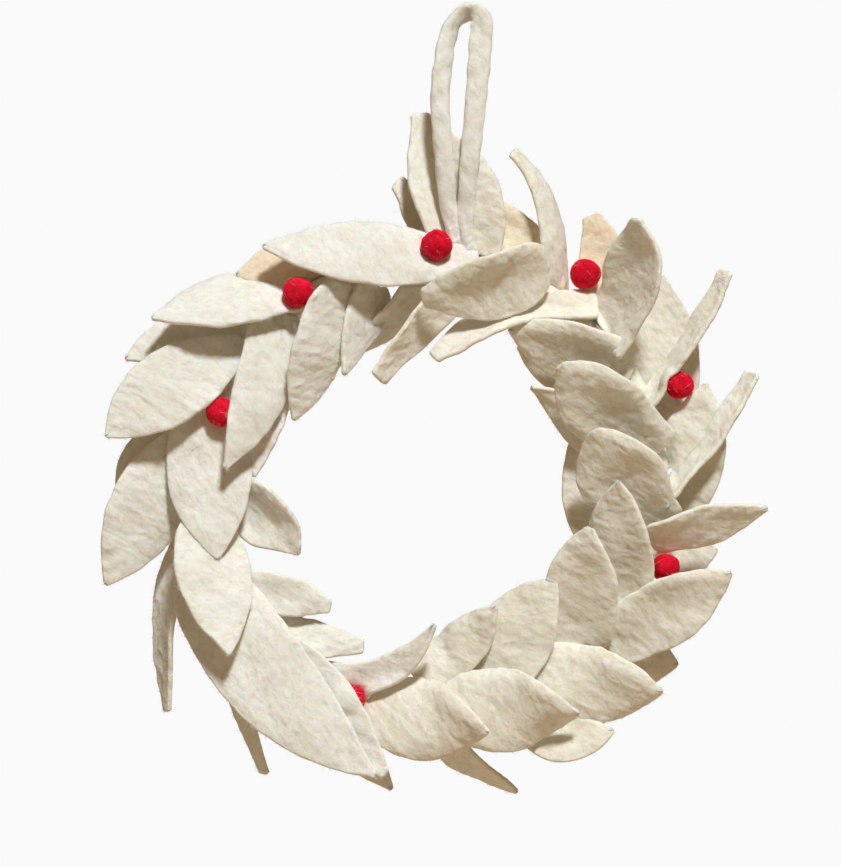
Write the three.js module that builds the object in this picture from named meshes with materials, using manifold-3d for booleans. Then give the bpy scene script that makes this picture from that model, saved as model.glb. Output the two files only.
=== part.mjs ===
// A hand-made felt wreath: a felt-wrapped core ring, overlapping felt leaves, red felt balls
// and a felt strap to hang it by. Millimetres, +Z up, the front faces -Y.
import * as THREE from "three";
import { mergeVertices } from "three/addons/utils/BufferGeometryUtils.js";
import Module from "manifold-3d";

const wasm = await Module();
wasm.setup();

// Driving sizes
const FELT = 3.5;
const GAP = 0.3;
const CORE_RADIUS = 8;
const RING = { x: 8, z: 12, halfWidth: 137, halfHeight: 130 };
const HANG_POINT = { x: 33.5, z: 291 };
const TIP_WIDTH = 5;
const NECK_WIDTH = 15;
const BALL_RADIUS = 9.6;
const BALL_FLATNESS = 0.96;
const BELLY = 0.46;
const LENS_POWER = 0.8;
const WAIST = 0.4;
const WAVE = { height: 1.1, turns: 1.3, step: 0.37 };

const STEPS_ALONG = 8;
const STEPS_ACROSS = 4;
const CORE_SIDES = 10;
const CORE_STEPS = 56;
const BALL_SEGMENTS = [12, 8];

// What a leaf has when its row doesn't say: no sway or roll, flat, and the usual neck and belly
const PLAIN_LEAF = { sway: 0, roll: 0, cup: 0, lift: 0, twist: 0, neck: NECK_WIDTH, belly: BELLY };

// Each row is a leaf: where its base is sewn on and where its tip ends (x to the right, z up, out towards
// the viewer, from the wreath's middle), its cut width, how far its middle sways to the left of its own
// direction and lifts towards the viewer, how it is rolled about its length (plus: left edge forward),
// how much that roll changes towards the tip, how far its edges curl forward, how wide it is at its base,
// and at what share of its length it is widest. Two rows in one piece are leaves sewn to each other.
const LEAVES = {
  // beside the hanging loop
  leaf_loop_1: [
    { base: [18, 147, -4], tip: [2, 235, -10.4], width: 31, sway: 3, roll: 35, cup: 4 },
    { base: [17, 149, -8], tip: [-11.5, 194, -26], width: 26, sway: -2.5, roll: 10, cup: 2, lift: -2 },
  ],
  leaf_loop_2: [{ base: [42, 145.5, 4.4], tip: [14, 221, 5], width: 40, sway: -2, roll: -15, cup: -3 }],
  leaf_loop_3: [
    { base: [86, 124, -6], tip: [46, 184, -22], width: 30, sway: 1, roll: 10, cup: 2 },
    { base: [90, 122, -8], tip: [57.5, 209.5, 12], width: 36, sway: -9, roll: -68, cup: 5, lift: 8, neck: 8 },
  ],
  // over the top of the ring
  leaf_top_1: [
    { base: [80, 143, 18.5], tip: [4, 121, 25.5], width: 36, sway: 3, roll: -30, cup: 3, lift: 6, neck: 20 },
  ],
  leaf_top_2: [
    { base: [105, 121, 11], tip: [10.5, 85.5, 26], width: 29, sway: -9, roll: 45, cup: 4, lift: 1.2, neck: 12 },
  ],
  leaf_top_3: [{ base: [31, 135, 3.4], tip: [-25, 76, 14], width: 28, sway: -5.5, roll: -30, cup: 3 }],
  // upper left
  leaf_upper_left_1: [
    { base: [18, 144, 9.4], tip: [-91, 152, 26], width: 38.5, sway: -1, roll: 24, cup: -2, lift: 4, belly: 0.4 },
  ],
  leaf_upper_left_2: [
    { base: [-30, 142, -4], tip: [-107.5, 136, -6], width: 36, sway: -3, roll: 14, cup: 2 },
  ],
  leaf_upper_left_3: [
    { base: [-66, 125, 10], tip: [-157, 109, 24], width: 42, sway: -4, roll: 42, cup: -2, lift: 4 },
  ],
  leaf_upper_left_4: [{ base: [-88, 108, 0], tip: [-173, 84, -6], width: 36, sway: -3, roll: 20, cup: 2 }],
  leaf_upper_left_5: [
    { base: [-98, 90, 10.1], tip: [-184.5, 39, 30], width: 46, sway: -3, roll: 8, cup: 2, lift: 4, twist: -6 },
  ],
  leaf_upper_left_6: [
    { base: [-43.5, 132, 11], tip: [-73, 49, 44], width: 37, sway: 3, cup: -2, lift: 4, belly: 0.33 },
  ],
  leaf_upper_left_7: [
    { base: [-86, 108, 9.4], tip: [-114, 20, 42], width: 38, sway: 2, cup: -2, lift: 5 },
    { base: [-78, 110, 8.8], tip: [-94, 23, 12], width: 29, sway: 4, cup: 2 },
  ],
  leaf_upper_left_8: [{ base: [-22, 135, 3], tip: [-42, 84, 16], width: 26, roll: 10, cup: 2 }],
  leaf_upper_left_9: [{ base: [6, 135, -3], tip: [-31, 91, -6], width: 24, roll: -30, cup: 3 }],
  // left side
  leaf_left_1: [{ base: [-125, 46, 9], tip: [-118, -34, 36], width: 51, sway: -2, cup: -2, belly: 0.34 }],
  leaf_left_2: [
    { base: [-136, 42, 2], tip: [-186, -50, 16], width: 46, sway: -1, cup: -2, lift: 2 },
    { base: [-136, 50, -1], tip: [-178, -8, -8], width: 38, sway: -3, roll: 10 },
  ],
  leaf_left_3: [
    { base: [-128, -6, 9.2], tip: [-111, -91, 38], width: 47, sway: 1, cup: -2, lift: 2, belly: 0.4 },
  ],
  leaf_left_4: [{ base: [-118, 8, 0], tip: [-70, -32, 8], width: 34, sway: 6, roll: 20, cup: 5, lift: 2 }],
  leaf_left_5: [
    { base: [-108, -46, 0], tip: [-50, -60, 10], width: 27, sway: -1, roll: 30, cup: 4, lift: 2 },
  ],
  leaf_left_6: [
    { base: [-131, -3, -5], tip: [-148, -127, -4], width: 36, sway: -11, roll: -60, cup: 3, neck: 10, twist: -20 },
  ],
  // lower left
  leaf_lower_left_1: [
    { base: [-125, -48, 9.3], tip: [-62, -148, 38], width: 49, sway: -6, cup: -2, lift: 2, belly: 0.36 },
  ],
  leaf_lower_left_2: [
    { base: [-88, -80, 9.1], tip: [-17, -164, 28], width: 47, sway: -3, cup: 1, lift: 9 },
  ],
  leaf_lower_left_3: [{ base: [-66, -106, -8], tip: [-14, -174.5, -12], width: 34, sway: -1, roll: 20 }],
  leaf_lower_left_4: [{ base: [-116, -62, -8], tip: [-92, -165, -14], width: 37, roll: 60, cup: 3 }],
  leaf_lower_left_5: [{ base: [-92, -72, 2], tip: [-30.5, -86, 14], width: 26, roll: 40, cup: 3, lift: 2 }],
  leaf_lower_left_6: [
    { base: [-62, -103, 2], tip: [12, -72.5, 30], width: 20, sway: -12, roll: 20, cup: 3, lift: -1 },
  ],
  // bottom
  leaf_bottom_1: [
    { base: [-25, -118, 9], tip: [44, -137, 34], width: 49, sway: -3, roll: -8, cup: -3, lift: 1, neck: 22 },
  ],
  leaf_bottom_2: [
    { base: [1, -108, 5.1], tip: [49, -62, 36], width: 36, sway: -1, cup: -2, lift: -4, neck: 22 },
  ],
  leaf_bottom_3: [
    { base: [46, -108, 7], tip: [85, -46, 36], width: 44, sway: 3, roll: -18, cup: -2, lift: 1, twist: 12 },
  ],
  leaf_bottom_4: [{ base: [16, -120, 9.2], tip: [98, -126, 32], width: 50, sway: -2.5, cup: -3, lift: 4.6 }],
  leaf_bottom_5: [{ base: [66, -104, 9.3], tip: [148, -112.5, 30], width: 45, sway: -1, cup: -3, lift: 2 }],
  leaf_bottom_6: [{ base: [62, -112, -8], tip: [119, -137, -4], width: 40, sway: -11, roll: 10 }],
  leaf_bottom_7: [{ base: [-2, -122, -8], tip: [62, -176, -12], width: 32, sway: -4, roll: 65, cup: 3 }],
  // lower right
  leaf_lower_right_1: [{ base: [100, -86, 9.1], tip: [104, -15, 38], width: 44, sway: 2, cup: 3 }],
  leaf_lower_right_2: [{ base: [126, -66, 7], tip: [121, 13, 36], width: 44, cup: 1 }],
  leaf_lower_right_3: [
    { base: [111, -79, 8], tip: [189, -42, 26], width: 41, sway: -2, roll: 4, cup: 3, lift: 2 },
  ],
  leaf_lower_right_4: [{ base: [108, -92, -8], tip: [159, -98, -8], width: 34, roll: 20 }],
  leaf_lower_right_5: [
    { base: [140, -30, 9], tip: [210.5, -1, 22], width: 28, sway: 1, roll: 38, cup: 2, lift: 3 },
    { base: [142, -38, 5], tip: [182.5, -29, -3], width: 28 },
  ],
  // right side
  leaf_right_1: [{ base: [150, 4, 9], tip: [201.5, 78, 32], width: 27, roll: 66, cup: 3, lift: 4 }],
  leaf_right_2: [{ base: [154, -14, -6], tip: [177, 69, 6], width: 43, sway: -1, lift: -1 }],
  leaf_right_3: [{ base: [141, 62, 7], tip: [187, 138.5, 32], width: 27, roll: 68, cup: 3, lift: 2 }],
  leaf_right_4: [{ base: [152, 48, -4], tip: [149, 136, -6], width: 42, belly: 0.42 }],
  leaf_right_5: [
    { base: [144, 40, 10], tip: [86, 82, 34], width: 44, sway: -2, roll: -25, cup: 3, lift: 2 },
  ],
  leaf_right_6: [{ base: [134, 12, 1], tip: [70, 70, 8], width: 26, sway: -2.5, roll: 10 }],
  leaf_right_7: [
    { base: [146, -16, 10], tip: [106, 43, 37], width: 48, sway: -2, roll: -15, cup: 3, lift: 1 },
  ],
  leaf_right_8: [{ base: [124, -36, -2], tip: [96, 42, -6], width: 36, sway: 4, belly: 0.38 }],
  // upper right
  leaf_upper_right_1: [
    { base: [116, 100, 9], tip: [133.5, 168, 32], width: 40, sway: -3, roll: -30, cup: 3, lift: 1 },
  ],
  leaf_upper_right_2: [{ base: [116, 98, -6], tip: [106, 173, -12], width: 36, sway: -5, cup: 2 }],
  leaf_upper_right_3: [
    { base: [132, 79, 9], tip: [56, 102, 18.8], width: 38, sway: -2, roll: -26, cup: 2, lift: 2 },
  ],
  leaf_upper_right_4: [{ base: [122, 76, -4], tip: [62, 94, -6], width: 32, sway: 6 }],
};

const BALLS = [
  { name: "ball_1", at: [13, 154, 19.2] },
  { name: "ball_2", at: [-69.5, 125.5, 22.5] },
  { name: "ball_3", at: [-116, 54, 18] },
  { name: "ball_4", at: [102.5, 137, 3] },
  { name: "ball_5", at: [159, 70, 9] },
  { name: "ball_6", at: [151.2, -38, 8.5] },
  { name: "ball_7", at: [-39, -118, 16] },
];

// The strap's middle line from its left foot over the top to its right foot, with its turn about itself
const STRAP = { thickness: 4.5, sides: 8, steps: 44, corner: 0.7 };
const STRAP_LINE = [
  { x: 26, z: 145, out: 9.5, width: 9, turn: 0 },
  { x: 23, z: 158, out: 10, width: 8, turn: 10 },
  { x: 20, z: 168, out: 11, width: 9, turn: 10 },
  { x: 18, z: 200, out: 14, width: 11.5, turn: 0 },
  { x: 15, z: 241, out: 11, width: 11, turn: 10 },
  { x: 17, z: 264, out: 8, width: 12.5, turn: 35 },
  { x: 20, z: 280, out: 3, width: 15, turn: 55 },
  { x: 25.5, z: 291.5, out: 0, width: 14, turn: 60 },
  { x: 33.5, z: 295.2, out: 0, width: 13, turn: 50 },
  { x: 39.5, z: 291, out: 3, width: 13, turn: 20 },
  { x: 39.3, z: 275, out: 6, width: 13.5, turn: 0 },
  { x: 36.5, z: 241, out: 10, width: 12.5, turn: -10 },
  { x: 33, z: 205, out: 12, width: 12, turn: 0 },
  { x: 30, z: 172, out: 11, width: 10, turn: 0 },
  { x: 30, z: 158, out: 10, width: 8, turn: 0 },
  { x: 34, z: 145, out: 9.5, width: 8, turn: 0 },
];

const feltCream = () => new THREE.MeshStandardMaterial({ color: 0xf3ead8, roughness: 0.95, metalness: 0 });
const feltRed = () => new THREE.MeshStandardMaterial({ color: 0xb3101c, roughness: 0.95, metalness: 0 });

const TOWARDS_VIEWER = new THREE.Vector3(0, -1, 0);
const point = ([x, z, out]) => new THREE.Vector3(x, -out, z);
const radians = THREE.MathUtils.degToRad;

// A closed solid from rings of points: each ring closes on itself, and both ends are capped
function loftRings(rings, closed) {
  const size = rings[0].length;
  const positions = rings.flat().flatMap((p) => [p.x, p.y, p.z]);
  const index = [];
  const count = closed ? rings.length : rings.length - 1;
  for (let ring = 0; ring < count; ring++) {
    const next = (ring + 1) % rings.length;
    for (let side = 0; side < size; side++) {
      const after = (side + 1) % size;
      const a = ring * size + side;
      const b = ring * size + after;
      const c = next * size + after;
      const d = next * size + side;
      index.push(a, b, c, a, c, d);
    }
  }
  if (!closed) {
    const last = (rings.length - 1) * size;
    for (let side = 1; side < size - 1; side++) {
      index.push(0, side + 1, side);
      index.push(last, last + side, last + side + 1);
    }
  }
  return { positions, index };
}

function solidOf({ positions, index }) {
  const mesh = new wasm.Mesh({
    numProp: 3,
    vertProperties: Float32Array.from(positions),
    triVerts: Uint32Array.from(index),
  });
  return new wasm.Manifold(mesh);
}

function geometryOf(solid) {
  const mesh = solid.getMesh();
  const geometry = new THREE.BufferGeometry();
  geometry.setAttribute("position", new THREE.BufferAttribute(Float32Array.from(mesh.vertProperties), 3));
  geometry.setIndex(Array.from(mesh.triVerts));
  geometry.computeVertexNormals();
  return geometry;
}

// Half the width of a leaf at a share of its length: a lens with a pinched base and a blunt tip
function halfWidth(row, share) {
  const stretched = share ** (Math.log(0.5) / Math.log(row.belly));
  const lens = (row.width / 2) * (4 * stretched * (1 - stretched)) ** LENS_POWER;
  const ends = THREE.MathUtils.lerp(row.neck / 2, TIP_WIDTH / 2, share);
  return Math.hypot(lens, ends * (1 - (1 - WAIST) * Math.sin(Math.PI * share)));
}

// The leaf's middle line bends through its swayed and lifted middle, and its cross-section turns with it
function leafRings(row, index) {
  const base = point(row.base);
  const tip = point(row.tip);
  const along = tip.clone().sub(base).normalize();
  const left = TOWARDS_VIEWER.clone().cross(along).normalize();
  const middle = base.clone().add(tip).multiplyScalar(0.5);
  const bend = middle.addScaledVector(left, 2 * row.sway).addScaledVector(TOWARDS_VIEWER, 2 * row.lift);
  const line = new THREE.QuadraticBezierCurve3(base, bend, tip);
  const rings = [];
  for (let step = 0; step <= STEPS_ALONG; step++) {
    const share = step / STEPS_ALONG;
    const at = line.getPoint(share);
    const ahead = line.getTangent(share);
    const side = TOWARDS_VIEWER.clone().cross(ahead).normalize();
    const face = ahead.clone().cross(side);
    const angle = radians(row.roll + row.twist * share);
    const across = side.clone().multiplyScalar(Math.cos(angle)).addScaledVector(face, Math.sin(angle));
    const front = face.clone().multiplyScalar(Math.cos(angle)).addScaledVector(side, -Math.sin(angle));
    const half = halfWidth(row, share);
    const curl = row.cup * (half / (row.width / 2)) ** 2;
    const phase = 2 * Math.PI * (WAVE.turns * share + WAVE.step * index);
    const wave = WAVE.height * Math.sin(phase) * Math.sin(Math.PI * share);
    const skin = (v, depth) => {
      const lift = curl * v * v + wave * v + depth;
      return at.clone().addScaledVector(across, half * v).addScaledVector(front, lift);
    };
    const places = Array.from({ length: STEPS_ACROSS + 1 }, (_, i) => -1 + (2 * i) / STEPS_ACROSS);
    const back = places.map((v) => skin(v, -FELT / 2));
    const frontFace = places.reverse().map((v) => skin(v, FELT / 2));
    rings.push([...back, ...frontFace]);
  }
  return rings;
}

function leafSolid(row, index) {
  return solidOf(loftRings(leafRings(row, index), false));
}

// The core ring, a little fatter where leaves are cut to sit on it
function coreSolid(grow) {
  const rings = [];
  for (let step = 0; step < CORE_STEPS; step++) {
    const angle = (2 * Math.PI * step) / CORE_STEPS;
    const outward = new THREE.Vector3(Math.cos(angle), 0, Math.sin(angle));
    const at = new THREE.Vector3(RING.x, 0, RING.z);
    at.x += RING.halfWidth * outward.x;
    at.z += RING.halfHeight * outward.z;
    const ring = [];
    for (let side = 0; side < CORE_SIDES; side++) {
      const turn = (2 * Math.PI * side) / CORE_SIDES;
      const spoke = outward.clone().multiplyScalar(Math.cos(turn));
      spoke.addScaledVector(TOWARDS_VIEWER, -Math.sin(turn));
      ring.push(at.clone().addScaledVector(spoke, CORE_RADIUS + grow));
    }
    rings.push(ring);
  }
  return solidOf(loftRings(rings, true));
}

// A felt ball, slightly uneven as hand-rolled wool is
function ballSolid([x, z, out], index, grow = 0) {
  const [around, down] = BALL_SEGMENTS;
  const sphere = new THREE.SphereGeometry(BALL_RADIUS + grow, around, down);
  sphere.deleteAttribute("normal");
  sphere.deleteAttribute("uv");
  sphere.rotateX(index + 1);
  sphere.scale(1, 1, BALL_FLATNESS);
  sphere.translate(x, -out, z);
  const merged = mergeVertices(sphere, 1e-3);
  return solidOf({ positions: merged.attributes.position.array, index: merged.index.array });
}

// A circle's share pushed outwards, so that the strap's section is a rounded bar rather than an oval
const squared = (share) => Math.sign(share) * Math.abs(share) ** STRAP.corner;

// The strap follows a smooth line through its table's points, with its section turned by the table
function strapSolid() {
  const places = STRAP_LINE.map((row) => point([row.x, row.z, row.out]));
  const line = new THREE.CatmullRomCurve3(places, false, "centripetal");
  const rings = [];
  for (let step = 0; step <= STRAP.steps; step++) {
    const share = step / STRAP.steps;
    const at = line.getPoint(share);
    const ahead = line.getTangent(share);
    const place = share * (STRAP_LINE.length - 1);
    const before = STRAP_LINE[Math.min(Math.floor(place), STRAP_LINE.length - 2)];
    const after = STRAP_LINE[STRAP_LINE.indexOf(before) + 1];
    const between = (column) => {
      return THREE.MathUtils.lerp(before[column], after[column], place - STRAP_LINE.indexOf(before));
    };
    const turn = radians(between("turn"));
    const width = between("width");
    const side = TOWARDS_VIEWER.clone().cross(ahead).normalize();
    const face = ahead.clone().cross(side);
    const across = side.clone().multiplyScalar(Math.cos(turn)).addScaledVector(face, Math.sin(turn));
    const front = face.clone().multiplyScalar(Math.cos(turn)).addScaledVector(side, -Math.sin(turn));
    const ring = [];
    for (let i = 0; i < STRAP.sides; i++) {
      const angle = (2 * Math.PI * i) / STRAP.sides;
      const flat = (width / 2) * squared(Math.cos(angle));
      const thick = (STRAP.thickness / 2) * squared(Math.sin(angle));
      ring.push(at.clone().addScaledVector(across, flat).addScaledVector(front, thick));
    }
    rings.push(ring);
  }
  return solidOf(loftRings(rings, false));
}

const wreath = new THREE.Group();
wreath.position.set(-HANG_POINT.x, 0, -HANG_POINT.z);

function addPiece(name, solid, material) {
  const mesh = new THREE.Mesh(geometryOf(solid), material);
  mesh.name = name;
  wreath.add(mesh);
}

const fatCore = coreSolid(GAP);
const fatBalls = BALLS.map((ball, index) => ballSolid(ball.at, index, GAP));

// The largest body of what is left of a piece: stray corners beyond a cut are trimmed off
function trimmed(solid) {
  const bodies = solid.decompose();
  return bodies.sort((a, b) => b.volume() - a.volume())[0];
}

// The base of a leaf is cut to sit on the core, and it is hollowed where a ball is pressed into it
function seatedLeaves(rows, index) {
  const leaves = rows.map((row) => leafSolid({ ...PLAIN_LEAF, ...row }, index));
  const sewn = wasm.Manifold.union(leaves).subtract(fatCore);
  return trimmed(fatBalls.reduce((left, ball) => left.subtract(ball), sewn));
}

addPiece("core_ring", coreSolid(0), feltCream());
Object.entries(LEAVES).forEach(([name, rows], index) => {
  addPiece(name, seatedLeaves(rows, index), feltCream());
});
addPiece("hanging_loop", trimmed(strapSolid().subtract(fatCore)), feltCream());
BALLS.forEach((ball, index) => addPiece(ball.name, ballSolid(ball.at, index), feltRed()));

const model = new THREE.Group();
model.add(wreath);
export default model;
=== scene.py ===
# The dressed model of a hand-made felt wreath: felt leaves sewn onto a wrapped core ring, red felt
# balls and a twisted felt strap. Sizes in the tables are millimetres from the wreath's middle.
import math

import bpy
import numpy as np
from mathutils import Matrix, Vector


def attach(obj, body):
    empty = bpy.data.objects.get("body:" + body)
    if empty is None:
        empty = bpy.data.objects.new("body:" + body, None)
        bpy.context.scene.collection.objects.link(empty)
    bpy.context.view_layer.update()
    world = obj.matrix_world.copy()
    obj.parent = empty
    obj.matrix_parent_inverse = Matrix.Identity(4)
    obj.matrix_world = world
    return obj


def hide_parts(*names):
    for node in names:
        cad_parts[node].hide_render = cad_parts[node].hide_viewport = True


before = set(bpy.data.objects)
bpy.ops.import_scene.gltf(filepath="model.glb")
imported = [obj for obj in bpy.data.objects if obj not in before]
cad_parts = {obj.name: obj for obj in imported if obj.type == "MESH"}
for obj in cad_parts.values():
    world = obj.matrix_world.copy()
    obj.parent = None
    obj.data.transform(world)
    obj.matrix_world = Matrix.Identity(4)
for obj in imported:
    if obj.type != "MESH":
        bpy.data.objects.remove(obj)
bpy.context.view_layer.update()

# Driving sizes
FELT = 3.3
GAP = 0.3
CORE_RADIUS = 8
RING = {"x": 8, "z": 12, "half_width": 137, "half_height": 130}
HANG_POINT = (33.5, 291)
TIP_WIDTH = 3.5
NECK_WIDTH = 15
BALL_FLATNESS = 0.96
BELLY = 0.46
LENS_POWER = 0.8
TIP_POWER = 0.92
WAIST = 0.4
WAVE = {"height": 1.1, "turns": 1.3, "step": 0.37}
RIM_ROUND = 1.5
BLUNT_TIP = 2.4
CUT_WOBBLE = 0.32
LUMPS = 0.55
SMALL_LUMPS = 0.22
CORE_WRAPS = 42
# A leaf lies over the front of the core, or over its back, when its base is this far out
BASE_IN_FRONT = 5
BASE_BEHIND = -3
# How many loose fibres grow on a millimetre of leaf, a square millimetre of its face, a ball and the strap
RIM_FIBRES = 2.4
FACE_FIBRES = 0.042
BALL_FIBRES = {"fluff": 260, "hairs": 16}
STRAP_FIBRES = 700

PLAIN_LEAF = {
    "sway": 0, "roll": 0, "cup": 0, "lift": 0, "twist": 0, "neck": NECK_WIDTH, "belly": BELLY,
    "end": TIP_WIDTH, "heel": 22, "round": 8, "bend": 0, "hook": 0, "nod": 0, "droop": 2, "rim": 7,
}


def leaf(base, tip, width, **rest):
    return {**PLAIN_LEAF, "base": base, "tip": tip, "width": width, **rest}


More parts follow.
